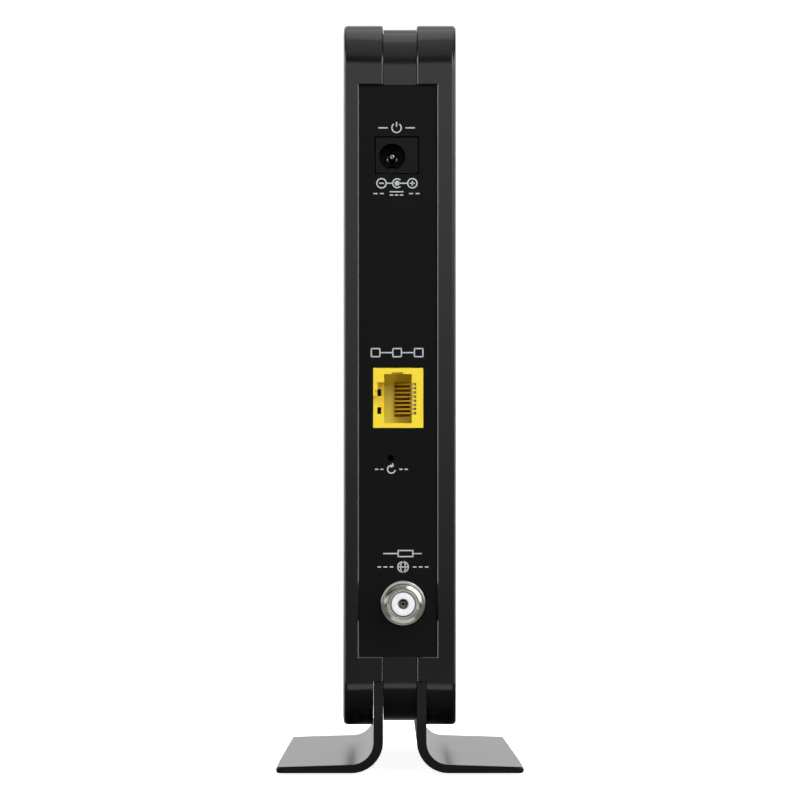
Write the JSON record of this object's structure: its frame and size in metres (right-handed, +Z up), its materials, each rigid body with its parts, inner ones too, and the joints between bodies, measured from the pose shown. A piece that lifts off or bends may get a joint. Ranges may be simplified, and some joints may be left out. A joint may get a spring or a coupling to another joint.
{
  "type": "cable modem",
  "caption": "Slim upright cable modem case with a centre band, a recessed port panel holding power, network, reset and coax ports, on two bent-plate feet.",
  "frame": {"origin": "on the floor, at the centre of the whole object's footprint box", "axes": "+Z up; -Y is the port side with the recessed panel; +Y is the side with the indicator windows; +X is to the right when looking at the ports"},
  "size_m": [0.061, 0.133, 0.1854],
  "materials": {
    "cover_plastic": "satin black moulded plastic, fine texture",
    "band_plastic": "smooth satin black moulded plastic",
    "panel_plastic": "matt black moulded plastic",
    "foot_plastic": "gloss black moulded plastic",
    "pad_rubber": "matt dark rubber",
    "black_screw": "blackened steel",
    "zinc_screw": "zinc-plated steel",
    "jack_black": "matt black moulded plastic",
    "button_black": "smooth black moulded plastic",
    "bright_nickel": "bright nickel plate",
    "tinned_steel": "tin-plated steel sheet",
    "jack_yellow": "bright yellow moulded plastic",
    "gold_contact": "gold-plated spring wire",
    "chip_black": "matt black moulding compound",
    "coax_white": "white moulded plastic",
    "board_green": "green solder mask over laminate",
    "pad_grey": "grey soft pad",
    "sink_aluminium": "satin extruded aluminium",
    "capacitor_can": "dark shrink sleeve over an aluminium can",
    "inductor_grey": "pressed ferrite block",
    "led_white": "white package with a pale lens",
    "clear_plastic": "clear moulded plastic"
  },
  "bodies": {
    "case": {"left_cover": "cover_plastic", "right_cover": "cover_plastic", "centre_frame": "band_plastic", "port_panel": "panel_plastic", "left_foot": "foot_plastic", "right_foot": "foot_plastic", "foot_pads": "pad_rubber", "foot_screws": "black_screw", "power_jack_housing": "jack_black", "power_jack_pin": "bright_nickel", "power_jack_spring": "tinned_steel", "ethernet_jack_housing": "jack_yellow", "ethernet_jack_insert": "jack_yellow", "ethernet_jack_contacts": "gold_contact", "ethernet_transformer": "chip_black", "reset_switch_body": "jack_black", "reset_switch_bracket": "tinned_steel", "reset_switch_terminals": "tinned_steel", "reset_snap_dome": "tinned_steel", "coax_connector_body": "bright_nickel", "coax_insulator": "coax_white", "coax_centre_contact": "bright_nickel", "main_board": "board_green", "board_screws": "zinc_screw", "tuner_shield_can": "tinned_steel", "tuner_chip": "chip_black", "modem_chip": "chip_black", "thermal_pad": "pad_grey", "heat_sink": "sink_aluminium", "memory_chips": "chip_black", "electrolytic_capacitors": "capacitor_can", "power_inductors": "inductor_grey", "crystal_can": "tinned_steel", "indicator_leds": "led_white", "indicator_light_pipe": "clear_plastic"},
    "reset_button": {"reset_plunger": "button_black"}
  },
  "joints": [
    {"name": "reset_press", "type": "slide", "parent": "case", "child": "reset_button", "axis": [0, 1, 0], "range_m": [0, 0.00025], "stiffness_N_per_m": 4000, "springref_m": -0.0001}
  ]
}
